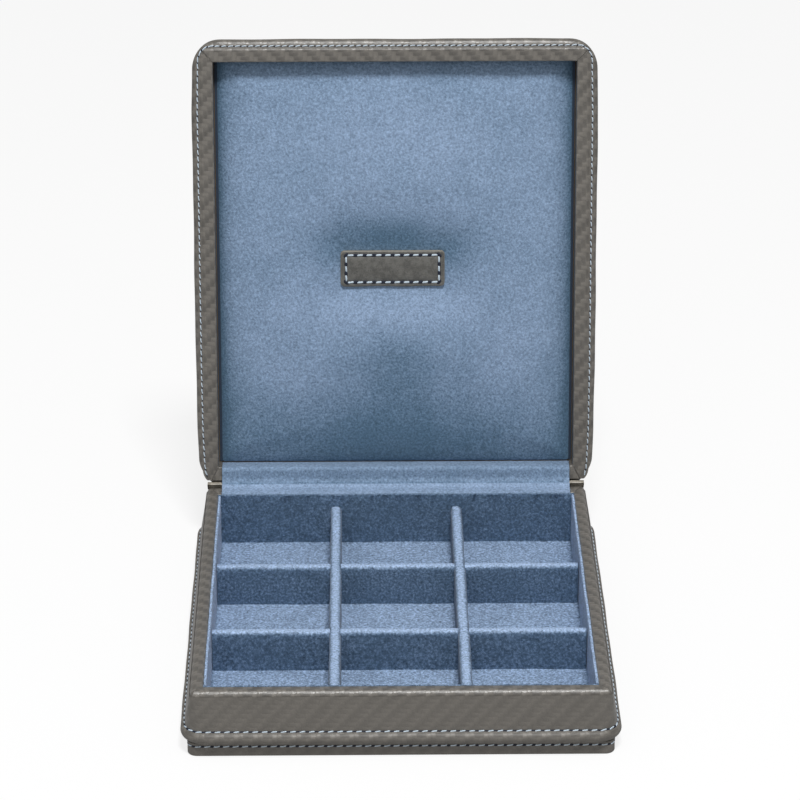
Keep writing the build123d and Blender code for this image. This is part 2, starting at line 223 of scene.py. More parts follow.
class Finish(NodeBuilder):
    """A material, built node by node round one Principled shader."""

    def __init__(self, title, **sockets):
        self.material = bpy.data.materials.new(title)
        self.material.use_nodes = True
        super().__init__(self.material.node_tree)
        self.surface = self.tree.nodes["Principled BSDF"]
        by_name = {socket.name.lower(): socket for socket in self.surface.inputs}
        for name, value in sockets.items():
            by_name[name.replace("_", " ")].default_value = value

    def noise(self, where, scale, detail=2.0, roughness=0.5):
        sockets = {"Vector": where, "Scale": scale, "Detail": detail, "Roughness": roughness}
        return self.node("ShaderNodeTexNoise", None, sockets)

    def ramp(self, value, low, high, to_low=0.0, to_high=1.0):
        """Run smoothly from to_low to to_high while value goes from low to high."""
        sockets = {
            "Value": value, "From Min": low, "From Max": high, "To Min": to_low, "To Max": to_high
        }
        return self.node("ShaderNodeMapRange", {"interpolation_type": "SMOOTHSTEP"}, sockets)

    def mix(self, factor, first, second, blend="MIX"):
        settings = {"data_type": "RGBA", "blend_type": blend}
        return self.node("ShaderNodeMix", settings, {0: factor, 6: first, 7: second}, output=2)

    def tint(self, colour, share):
        """Colour times a grey share."""
        return self.mix(1.0, colour, self.vector(share, share, share), blend="MULTIPLY")

    def bump(self, height, distance, strength=1.0, normal=None):
        sockets = {"Height": height, "Distance": distance, "Strength": strength}
        if normal is not None:
            sockets["Normal"] = normal
        return self.node("ShaderNodeBump", None, sockets)

    def attribute(self, name):
        """A number that the mesh's points carry."""
        return self.node("ShaderNodeAttribute", {"attribute_name": name}, None, output=2)

    def where(self):
        """Place on the object, in millimetres."""
        place = self.node("ShaderNodeTexCoord", None, None, output=3)
        settings = {"operation": "SCALE"}
        return self.node("ShaderNodeVectorMath", settings, {"Vector": place, "Scale": 1 / MM})

    def set(self, socket, value):
        self.fill(self.surface.inputs[socket], value)


def srgb(red, green, blue):
    """A colour as it looks on a screen, 0 to 255, in the values that shaders take."""
    def linear(channel):
        share = channel / 255
        return share / 12.92 if share <= 0.04045 else ((share + 0.055) / 1.055) ** 2.4

    return linear(red), linear(green), linear(blue), 1.0


# ---- finishes ----
def woven_leather(name, roughness, coat):
    """Calf leather embossed with a two-over, two-under weave that follows the UV map, its strands
    painted lighter and darker as a painted sheen.
    """
    finish = Finish(name, specular_ior_level=0.7, coat_weight=coat, coat_roughness=0.3)
    tow = 1.64    # width of one strand, in mm
    uv = finish.node("ShaderNodeUVMap", {"uv_map": "UVMap"})
    place = finish.where()
    wander = (finish.noise(place, 0.09, 2.0) - 0.5) * 0.5
    split = finish.node("ShaderNodeSeparateXYZ", None, {0: uv})
    down = Wire(finish, split.socket.node.outputs[1])
    u = split / tow + wander
    v = down / tow + wander
    column = u.floor()
    row = v.floor()
    warp_run = (v + column) % 4.0
    weft_run = (u + row) % 4.0 - 2.0

    def strand(across, along):
        """Height of a strand: round across its width, and arched where it lies on top."""
        side = (across - 0.5) * 2.0
        return (1.0 - side * side * 0.7) * ((along * (pi / 2)).sine() * 0.7 + 0.3)

    warp_up = warp_run < 2.0
    height = strand(u - column, warp_run) * warp_up
    height += strand(v - row, weft_run) * (1.0 - warp_up)
    grain = finish.noise(place, 2.2, 3.0, 0.6)
    patina = finish.noise(place, 0.06, 3.0)
    # Painted sheen: warp strands are painted lighter and weft strands darker, strongest on the rim;
    # the slant adds diagonal bands of painted sheen, and patina and grain add the leather's own
    # uneven tone.
    on_rim, on_wall = 0.26, 0.05
    contrast = finish.ramp(down.maths("ABSOLUTE"), 2.6, 4.2, on_rim, on_wall)
    painted_sheen_bands = (warp_up * 2.0 - 1.0) * (height * 0.8 + 0.25) * contrast
    slant = ((u + v + patina * 1.5) * (pi / 2)).sine() * 0.09
    tone_and_sheen = painted_sheen_bands + slant + 1.0 + (patina - 0.5) * 0.3 + (grain - 0.5) * 0.6
    finish.set("Base Color", finish.tint(srgb(101, 97, 91), tone_and_sheen))
    finish.set("Roughness", roughness - warp_up * 0.08 + (grain - 0.5) * 0.2)
    woven = finish.bump(height, 0.00010)
    finish.set("Normal", finish.bump(grain, 0.00007, normal=woven))
    return finish.material


def smooth_leather(name, colour, edge_colour=None):
    """Plain calf leather with a fine grain, and a darker cut edge where it has one."""
    finish = Finish(name, roughness=0.46, coat_weight=0.15, coat_roughness=0.3)
    place = finish.where()
    grain = finish.noise(place, 2.6, 3.0, 0.6)
    blotches = finish.noise(place, 0.36, 4.0, 0.65)
    mottled = finish.ramp(blotches, 0.36, 0.64, 0.76, 1.20) + (grain - 0.5) * 1.2
    base_colour = finish.tint(colour, mottled)
    if edge_colour is not None:
        base_colour = finish.mix(finish.attribute("cut_edge"), base_colour, edge_colour)
    finish.set("Base Color", base_colour)
    finish.set("Roughness", 0.42 + grain * 0.16)
    finish.set("Normal", finish.bump(grain, 0.00007))
    return finish.material


def velvet(name, shaded_end, lit_end, texture):
    """Short cut pile with painted shade and light: the painted_shading attribute runs the colour
    from the shaded_end colour towards the lit_end colour.
    """
    finish = Finish(
        name, roughness=0.9, sheen_weight=0.15, sheen_roughness=0.45, specular_ior_level=0.1
    )
    place = finish.where()
    painted_shading = finish.attribute("painted_shading")
    streaks = finish.noise(place, 1.15, 2.0, 0.7)
    pile = finish.noise(place, 3.4, 1.0)
    brushed = finish.noise(place, 0.07, 4.0, 0.6)
    # Painted shade and light from the painted_shading attribute, broken up by brushed and streaked
    # pile.
    shading_and_pile = painted_shading + (brushed - 0.5) * 0.45 + (streaks - 0.5) * (0.5 * texture)
    colour = finish.mix(finish.ramp(shading_and_pile, -0.1, 1.1), shaded_end, lit_end)
    share = 1.0 + (streaks - 0.5) * (1.05 * texture) + (pile - 0.5) * (0.45 * texture)
    finish.set("Base Color", finish.tint(colour, share))
    depth = streaks * 0.7 + pile * 0.3
    finish.set("Normal", finish.bump(depth, 0.00035, strength=0.9))
    return finish.material


def plain(name, colour, roughness, scale, depth, metallic=0.0):
    """Hidden and underside materials: one colour with a fine uneven surface."""
    finish = Finish(name, roughness=roughness, metallic=metallic)
    texture = finish.noise(finish.where(), scale, 3.0, 0.6)
    finish.set("Base Color", finish.tint(colour, 0.85 + texture * 0.3))
    finish.set("Normal", finish.bump(texture, depth))
    return finish.material


cover_leather = woven_leather("woven leather", 0.44, 0.2)
roll_leather = woven_leather("roll leather", 0.58, 0.03)
patch_leather = smooth_leather("patch leather", srgb(92, 91, 87), srgb(132, 126, 114))
# The spine leather is painted paler than the cover leather it continues: a painted highlight on the
# hinge roll.
spine_leather = smooth_leather("spine leather", srgb(146, 140, 128))
# Each velvet gets a shaded and a lit colour, painted shade and painted light, mixed by its
# painted_shading attribute.
lid_velvet = velvet("lid velvet", srgb(84, 111, 134), srgb(144, 165, 193), 1.15)
tray_velvet = velvet("tray velvet", srgb(80, 102, 126), srgb(156, 178, 208), 1.9)
board_card = plain("board", srgb(120, 104, 84), 0.9, 1.5, 0.00005)
foam = plain("foam", srgb(196, 190, 176), 0.95, 2.5, 0.0001)
# Lining cloth, painted as dark as the shade it sits in at the gap beside the lid pad.
lining_cloth = plain("lining cloth", srgb(46, 58, 74), 0.95, 2.5, 0.00015)
felt = plain("felt", srgb(52, 54, 58), 0.95, 2.5, 0.00015)
steel = plain("hinge steel", srgb(150, 150, 152), 0.35, 1.2, 0.00002, metallic=1.0)
thread_finish = plain("stitching thread", srgb(196, 210, 222), 0.7, 6.0, 0.00003)
# Dark navy marks between the threads: painted shade of the needle holes.
hole_shade_finish = plain("needle holes", srgb(22, 30, 46), 0.8, 4.0, 0.00003)


# ---- meshes ----
def new_object(name, data, material=None):
    """A mesh, a lamp or a camera as an object in the scene."""
    obj = bpy.data.objects.new(name, data)
    bpy.context.scene.collection.objects.link(obj)
    if material is not None:
        dress(data, material)
    return obj


def dress(mesh, material):
    """Give a mesh one material in place of any it has."""
    mesh.materials.clear()
    mesh.materials.append(material)


def coordinates(mesh):
    """The points of a mesh, one in each row."""
    places = np.zeros(len(mesh.vertices) * 3)
    mesh.vertices.foreach_get("co", places)
    return places.reshape(-1, 3)


def set_values(mesh, name, values):
    """Store one number for each point of a mesh."""
    attribute = mesh.attributes.new(name, "FLOAT", "POINT")
    attribute.data.foreach_set("value", np.asarray(values, np.float32))


def build_mesh(name, points, faces, uv=None):
    """A mesh from points and faces, with one UV pair for each face corner."""
    mesh = bpy.data.meshes.new(name)
    mesh.from_pydata(np.asarray(points, float).tolist(), [], np.asarray(faces).tolist())
    if uv is not None:
        layer = mesh.uv_layers.new(name="UVMap")
        layer.data.foreach_set("uv", np.asarray(uv, float).ravel())
    return mesh


def ring_quads(rows, count, closed=False):
    """Quads that join rings of count points. Returns row, place, next row and the quads."""
    row, place = np.meshgrid(
        np.arange(rows if closed else rows - 1), np.arange(count), indexing="ij"
    )
    row, place = row.ravel(), place.ravel()
    after_row, after = (row + 1) % rows, (place + 1) % count
    here, there = row * count, after_row * count
    quads = np.stack([here + place, here + after, there + after, there + place], 1)
    return row, place, after_row, quads


def tidy(mesh, merge=1e-4):
    """Merge doubled points, drop faces without area and point the rest outwards."""
    work = bmesh.new()
    work.from_mesh(mesh)
    bmesh.ops.remove_doubles(work, verts=work.verts, dist=merge)
    bmesh.ops.dissolve_degenerate(work, edges=work.edges, dist=merge / 2)
    bmesh.ops.recalc_face_normals(work, faces=work.faces)
    if work.calc_volume(signed=True) < 0:
        bmesh.ops.reverse_faces(work, faces=work.faces)
    work.to_mesh(mesh)
    work.free()


def shade_soft(mesh, angle):
    """Soft shading, with creases where faces meet more sharply than angle."""
    mesh.polygons.foreach_set("use_smooth", [True] * len(mesh.polygons))
    mesh.set_sharp_from_angle(angle=radians(angle))


def settle(mesh, half, angle=35.0):
    """Bring a mesh in a half's coordinates to its place, with soft shading."""
    mesh.transform(half.matrix)
    if half.matrix.determinant() < 0:
        mesh.flip_normals()
    shade_soft(mesh, angle)
    mesh.update()


def evaluated(obj):
    """The mesh that an object's modifiers make."""
    bpy.context.view_layer.update()
    graph = bpy.context.evaluated_depsgraph_get()
    return bpy.data.meshes.new_from_object(obj.evaluated_get(graph))


def cut_away(obj, cutter_mesh):
    """Take one mesh away from an object."""
    cutter = new_object("cutter", cutter_mesh)
    modifier = obj.modifiers.new("cut", "BOOLEAN")
    modifier.operation = "DIFFERENCE"
    modifier.solver = "EXACT"
    modifier.object = cutter
    mesh = evaluated(obj)
    obj.modifiers.clear()
    obj.data = mesh
    bpy.data.objects.remove(cutter)


def solid_mesh(name, create, **settings):
    """A mesh with one solid that a bmesh function makes."""
    work = bmesh.new()
    create(work, **settings)
    mesh = bpy.data.meshes.new(name)
    work.to_mesh(mesh)
    work.free()
    return mesh


def cylinder_mesh(radius, y, depth, length):
    turn = Matrix.Translation((0, y, depth)) @ Matrix.Rotation(pi / 2, 4, "Y")
    return solid_mesh(
        "cylinder", bmesh.ops.create_cone, cap_ends=True, segments=64, radius1=radius,
        radius2=radius, depth=length, matrix=turn
    )


def block_mesh(low, high):
    low, high = Vector(low), Vector(high)
    place = Matrix.Translation((low + high) / 2) @ Matrix.Diagonal((*(high - low), 1))
    return solid_mesh("block", bmesh.ops.create_cube, size=1.0, matrix=place)


# ---- sweeps round the box ----
width_steps = 168
depth_steps = 192
corner_steps = 20


def rounded(half_x, low_y, high_y, corner):
    """A rounded rectangle, anticlockwise from the middle of its rear edge."""
    corner = min(max(corner, 0.0), half_x)
    inner_x, inner_low, inner_high = half_x - corner, low_y + corner, high_y - corner
    points = []

    def run(start, end, steps, first=0):
        share = np.arange(first, steps) / steps
        points.append(np.outer(1 - share, start) + np.outer(share, end))

    def arc(centre, start):
        turn = np.radians(start + 90 * np.arange(corner_steps + 1) / corner_steps)
        points.append(np.array(centre) + corner * np.stack([np.cos(turn), np.sin(turn)], 1))

    run((0, high_y), (-inner_x, high_y), width_steps // 2)
    arc((-inner_x, inner_high), 90)
    run((-half_x, inner_high), (-half_x, inner_low), depth_steps, 1)
    arc((-inner_x, inner_low), 180)
    run((-inner_x, low_y), (inner_x, low_y), width_steps, 1)
    arc((inner_x, inner_low), 270)
    run((half_x, inner_low), (half_x, inner_high), depth_steps, 1)
    arc((inner_x, inner_high), 0)
    run((inner_x, high_y), (0, high_y), width_steps // 2, 1)
    return np.concatenate(points)


def round_opening(reach, rear, corner):
    return rounded(half_width + reach, -half_depth - reach, half_depth + rear, corner)


def running_length(loop):
    """Distance along a closed loop at each point, and the whole length."""
    steps = np.linalg.norm(np.roll(loop, -1, axis=0) - loop, axis=1)
    return np.concatenate([[0], np.cumsum(steps)[:-1]]), steps.sum()


def outward(loop):
    """Unit vectors that point out of a flat anticlockwise loop."""
    along = np.roll(loop, -1, axis=0) - np.roll(loop, 1, axis=0)
    along = along / np.linalg.norm(along, axis=1)[:, None]
    return np.stack([along[:, 1], -along[:, 0]], 1)


seam_loop = round_opening(seam_reach, seam_reach_rear, seam_corner)
seam_run, seam_length = running_length(seam_loop)
seam_out = outward(seam_loop)
seam_stitches = round(seam_length / stitch_pitch)
needle_wave = 0.5 + 0.5 * np.cos(2 * pi * seam_stitches * seam_run / seam_length)

# Where the four corners start on a loop.
corner_starts = [width_steps // 2]
for side_steps in (depth_steps, width_steps, depth_steps):
    corner_starts.append(corner_starts[-1] + corner_steps + side_steps)


def side_middle(start, stop):
    """Where the seam passes midway between front and rear, from start to stop."""
    return start + np.argmin(np.abs(seam_loop[start:stop, 1]))


side_middles = [
    side_middle(corner_starts[0] + corner_steps, corner_starts[1]),
    corner_starts[1] + corner_steps + width_steps // 2,
    side_middle(corner_starts[2] + corner_steps, corner_starts[3]), -1
]


def side_bow(places):
    """How far the side walls belly out at their seam, at points (x, y)."""
    x, y = places[..., 0], places[..., 1]
    belly, fade = 0.85, 10
    on_side = np.clip((np.abs(x) - half_width) / 4, 0, 1)
    along = np.clip((half_depth + 6 - np.abs(y)) / fade, 0, 1) ** 0.7
    return np.sign(x) * belly * on_side * along


def corner_draw(places):
    """How far the lid's sides are drawn in towards its corners, at points (x, y)."""
    x, y = places[..., 0], places[..., 1]
    on_side = np.clip((np.abs(x) - half_width - 1) / 5, 0, 1)
    marks = [-half_depth - 8, -half_depth, -60, 40, 64]
    marks += [half_depth - 2, half_depth + 5, half_depth + 9]
    drawn = [0.4, 0.5, 0.1, 0.1, 0.3, 0.75, 1.3, 1.6]
    return -np.sign(x) * on_side * np.interp(y, marks, drawn)


def leather_run(loop):
    """How far round the box each point lies, so that the weave runs straight on each side."""
    x, y = loop[:, 0], loop[:, 1]
    left, front, right, end = (seam_run[middle] for middle in side_middles)
    run = np.concatenate([
        -x[:corner_starts[0] + 1],
        left - y[corner_starts[0] + 1:corner_starts[1] + 1],
        front + x[corner_starts[1] + 1:corner_starts[2] + 1],
        right + y[corner_starts[2] + 1:corner_starts[3] + 1],
        end - x[corner_starts[3] + 1:],
    ])
    for start in corner_starts:
        stop = start + corner_steps
        share = np.arange(corner_steps + 1) / corner_steps
        run[start:stop + 1] = (1 - share) * run[start] + share * run[stop]
    return np.concatenate([run, [seam_length]])


def sweep(name, stations, closed=True, shape=None, rim=0):
    """Skin the rings of (reach, rear reach, corner, depth) stations round the box.

    The weave counts its rows from the station whose number is rim.
    """
    stations = np.array(stations, float)
    rings = np.stack([round_opening(*station[:3]) for station in stations])
    depth = np.repeat(stations[:, 3:], rings.shape[1], axis=1)
    points = np.concatenate([rings, depth[..., None]], axis=2)
    if shape is not None:
        shape(points, stations)
    rows, count = points.shape[:2]
    profile = np.linalg.norm(np.diff(stations[:, [0, 3]], axis=0), axis=1)
    v = np.concatenate([[0], np.cumsum(profile), [profile.sum() + leather]])
    v -= v[rim]
    u = np.stack([leather_run(ring) for ring in rings])
    row, place, after_row, faces = ring_quads(rows, count, closed)
    corners_u = [u[row, place], u[row, place + 1], u[after_row, place + 1], u[after_row, place]]
    corners_v = [v[row], v[row], v[row + 1], v[row + 1]]
    uv = np.stack([np.stack(corners_u, 1), np.stack(corners_v, 1)], 2)
    return build_mesh(name, points.reshape(-1, 3), faces, uv)


def between(first, second, share):
    return np.array(first) * (1 - share) + np.array(second) * share


rim_station = np.array([rim_reach, rim_reach_rear, rim_corner])
seam_station = np.array([seam_reach, seam_reach_rear, seam_corner])
roll_station = np.array([roll_reach, roll_reach_rear, roll_corner])
edge_station = np.array([0.0, 0.0, 0.0])


def offset(station, amount):
    """A station moved in or out by the same amount all round."""
    return np.array(station) + amount


def at(station, depth):
    return [*station, depth]


def arc_points(centre, centre_depth, radius, start, end, steps):
    """Stations on an arc: 0 degrees points out from the box and 90 back up to the rim."""
    turns = np.radians(np.linspace(start, end, steps))
    return [at(offset(centre, radius * cos(t)), centre_depth - radius * sin(t)) for t in turns]


# ---- leather pieces ----
def rim_and_turn_in(turn_in):
    """From deep inside the opening up over its softly rounded edge to the middle of the rim."""
    edge_radius = 0.45
    edge_centre = offset(edge_station, edge_radius)
    stations = [at(edge_station, turn_in), at(edge_station, 2 * edge_radius)]
    stations += arc_points(edge_centre, edge_radius + 0.06, edge_radius, 180, 90, 6)
    stations += [at(between(edge_station, rim_station, share), 0.02) for share in (0.2, 0.35, 0.5)]
    return stations


def mitre_crease(points, stations):
    """Press a soft mitred seam into the rim's four corners."""
    for start in corner_starts:
        middle = start + corner_steps // 2
        for row, (reach, _, _, depth) in enumerate(stations):
            on_rim = -0.1 < reach <= rim_reach + 0.01 and depth < 1.2
            if on_rim:
                points[row, middle, 2] += 0.17
                points[row, middle - 1:middle + 2, 2] += 0.05
                points[row, middle - 2:middle + 3, 2] += 0.03


def base_cover_shape(points, stations):
    mitre_crease(points, stations)
    wander = 0.05 * np.sin(seam_run / 17.0 + 0.6) + 0.04 * np.sin(seam_run / 7.3 + 2.0)
    for row, (_, _, _, depth) in enumerate(stations[:-5]):
        near_seam = np.exp(-((depth - foot_depth) / 0.9) ** 2)
        points[row, :, :2] -= seam_out * (0.16 * near_seam * needle_wave)[:, None]
        belly = sin(pi * min(max(depth / foot_depth, 0), 1))
        points[row, :, :2] += seam_out * (belly * wander)[:, None]
        if stations[row, 0] > rim_reach - 1:
            points[row, :, 0] += side_bow(points[row]) * min(max(depth / foot_depth, 0), 1)


def base_cover_mesh():
    fold_radius = 2.2
    fold_centre = offset(rim_station, -fold_radius)
    stations = rim_and_turn_in(12.0)
    stations += arc_points(fold_centre, fold_radius, fold_radius, 85, 5, 8)
    for share in (0.12, 0.25, 0.4, 0.55, 0.7, 0.82, 0.9, 0.95):
        station = between(rim_station, seam_station, share)
        stations.append(at(station, foot_depth * share))
    stations += arc_points(offset(seam_station, -0.45), foot_depth - 0.35, 0.42, 10, -80, 5)
    stations += [
        at(offset(seam_station, -1.15), foot_depth),
        at(offset(seam_station, -leather), foot_depth - 0.9),
        at(offset(between(rim_station, seam_station, 0.4), -leather), foot_depth * 0.4),
        at(offset(rim_station, -leather), leather), at(offset(edge_station, leather), leather)
    ]
    stations.append(at(offset(edge_station, leather), 12.0))
    return sweep("base_cover", stations, shape=base_cover_shape, rim=10)


def lid_cover_shape(points, stations):
    mitre_crease(points, stations)
    for row, (reach, _, _, depth) in enumerate(stations[:-4]):
        near_seam = np.exp(-((reach - seam_reach + 0.1) / 0.7) ** 2)
        points[row, :, 2] += 0.12 * near_seam * needle_wave
        points[row, :, 0] += corner_draw(points[row])


def lid_cover_mesh():
    """The lid's rim: a flat frame with a soft ridge, sloping off to the stitched seam."""
    stations = rim_and_turn_in(lid_board_front)
    for share, depth in ((0.85, 0.0), (0.95, -0.02), (1.0, 0.0)):
        stations.append(at(between(edge_station, rim_station, share), depth))
    slope = ((0.12, 0.10), (0.25, 0.20), (0.5, 0.28), (0.75, 0.34), (0.92, 0.50), (0.97, 0.72))
    for share, depth in slope:
        stations.append(at(between(rim_station, seam_station, share), depth))
    stations += [
        at(offset(seam_station, -0.8), leather + 0.25),
        at(offset(edge_station, leather), leather + 0.25),
        at(offset(edge_station, leather), lid_board_front)
    ]
    return sweep("lid_cover", stations, shape=lid_cover_shape, rim=10)


def roll_shape(top):
    def shape(points, stations):
        wander = 0.07 * np.sin(seam_run / 11.0 + 1.0) + 0.05 * np.sin(seam_run / 4.7)
        for row, (reach, _, _, depth) in enumerate(stations[:-3]):
            near_seam = np.exp(-((depth - top) / 0.8) ** 2)
            points[row, :, :2] -= seam_out * (0.10 * near_seam * needle_wave)[:, None]
            points[row, :, 2] += 0.05 * near_seam * needle_wave
            points[row, :, :2] += seam_out * ((1 - near_seam) * wander)[:, None]
            if top > 1:
                points[row, :, 0] += side_bow(points[row]) * near_seam * 0.9
            else:
                points[row, :, 0] += corner_draw(points[row])
        press_cove(points)

    return shape


def press_cove(points):
    """Press the lid's roll back to the round space that the hinge turns in."""
    away = points[..., 1:] - np.array([pivot_y, -rim_gap / 2])
    far = np.linalg.norm(away, axis=-1, keepdims=True)
    points[..., 1:] += away / far * np.clip(lid_cove - far, 0, None)


def roll_mesh(name, top, core, widest):
    """A plump roll of leather from the seam round to its back. core is what it goes round."""
    radius = roll_height / 2
    centre = offset(widest, -radius)
    stations = [at(offset(seam_station, -0.7), top + 0.1)]
    stations += arc_points(centre, top + radius, radius, 98, -98, 22)
    stations += [
        at(offset(seam_station, -0.9), top + roll_height - 0.1), at(core, top + roll_height - 0.1),
        at(core, top + 0.6)
    ]
    return sweep(name, stations, shape=roll_shape(top))


def plinth_shape(points, stations):
    for row, (_, _, _, depth) in enumerate(stations[:-8]):
        near_seam = np.exp(-((depth - wall_depth - plinth_stitch_drop) / 0.7) ** 2)
        points[row, :, :2] -= seam_out * (near_seam * (0.10 + 0.10 * needle_wave))[:, None]


plinth_stitch_drop = 1.25    # second stitch line, below the edge roll


def plinth_mesh():
    """Leather wrapped round the plinth's edge and turned in above and below."""
    side = np.array([plinth_reach, plinth_reach, plinth_corner])
    stations = [at(offset(side, -4.0), wall_depth), at(offset(side, -1.0), wall_depth)]
    stations += arc_points(offset(side, -0.5), wall_depth + 0.5, 0.5, 85, 5, 5)
    for drop in (0.85, 1.05, 1.25, 1.45, 1.7, 2.2, 3.0, 3.8):
        stations.append(at(side, wall_depth + drop))
    stations += arc_points(offset(side, -0.6), base_height - 0.6, 0.6, 0, -90, 6)
    stations += [
        at(offset(side, -11.9), base_height), at(offset(side, -11.9), base_height - leather),
        at(offset(side, -1.6), base_height - leather),
        at(offset(side, -leather), base_height - 1.6), at(offset(side, -leather), wall_depth + 1.0),
        at(offset(side, -1.6), wall_depth + leather), at(offset(side, -4.0), wall_depth + leather)
    ]
    return sweep("plinth_cover", stations, shape=plinth_shape)


def top_mesh():
    """The padded leather top of the lid, closed in the middle."""
    side = np.array([top_reach, top_reach, top_corner])
    roll_back = seam_drop + roll_height
    crown = 0.5
    stations = [at(offset(side, -leather), roll_back), at(side, roll_back), at(side, roll_back + 1)]
    stations += [at(side, lid_thickness - top_rounding - 1.2)]
    stations += arc_points(
        offset(side, -top_rounding), lid_thickness - top_rounding, top_rounding, 0, -88, 12
    )
    inner_reach = top_reach - top_rounding
    for share in np.linspace(0.04, 1.0, 24):
        reach = inner_reach - (half_width + inner_reach) * share
        corner = max(top_corner - top_rounding * (1 + share), 0.0)
        rise = crown * (1 - (1 - share) ** 2.2)
        stations.append([reach, reach, corner, lid_thickness + rise])
    mesh = sweep("lid_top", stations, closed=False)
    lay_flat(mesh)
    return mesh


def lay_flat(mesh):
    """Give faces that lie level the plan itself as their UV map, far from the rim's rows."""
    far_down = 2 * inner_depth
    layer = mesh.uv_layers["UVMap"].data
    for face in mesh.polygons:
        if abs(face.normal.z) > 0.75:
            for loop in face.loop_indices:
                place = mesh.vertices[mesh.loops[loop].vertex_index].co
                layer[loop].uv = (place.x, far_down + place.y)


def hinge_cuts(obj, half, depth):
    """Clear the round space of the hinge, and the flap's place in the rear rim."""
    cut_away(obj, cylinder_mesh(half.cove, pivot_y, -rim_gap / 2, 2 * inner_width))
    low = (-flap_half_width - 0.15, half_depth - 0.01, -1.0)
    high = (flap_half_width + 0.15, half_depth + rim_reach_rear - leather, depth + 1.0)
    cut_away(obj, block_mesh(low, high))


def leather_piece(name, mesh, half, nodes, cuts=None, finish=cover_leather):
    tidy(mesh)
    obj = new_object(name, mesh, finish)
    if cuts is not None:
        hinge_cuts(obj, half, cuts)
        tidy(obj.data)
    settle(obj.data, half)
    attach(obj, half.name)
    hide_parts(*nodes)


leather_piece("base_cover", base_cover_mesh(), base, ["base_leather_cover"], cuts=12.0)
base_core = offset(seam_station, -leather)
base_roll = roll_mesh("base_roll", foot_depth, base_core, roll_station)
leather_piece("base_roll", base_roll, base, ["base_edge_roll"], finish=roll_leather)
leather_piece("plinth_cover", plinth_mesh(), base, ["plinth_leather"], finish=roll_leather)
leather_piece("lid_cover", lid_cover_mesh(), lid, ["lid_leather_cover"], cuts=lid_board_front)
lid_core = np.array([top_reach - leather, top_reach - leather, 3.0])
lid_roll = roll_mesh("lid_roll", seam_drop, lid_core, roll_station + [0, 0, 1.5])
leather_piece("lid_roll", lid_roll, lid, ["lid_edge_roll"])
leather_piece("lid_top", top_mesh(), lid, ["lid_top_leather"])


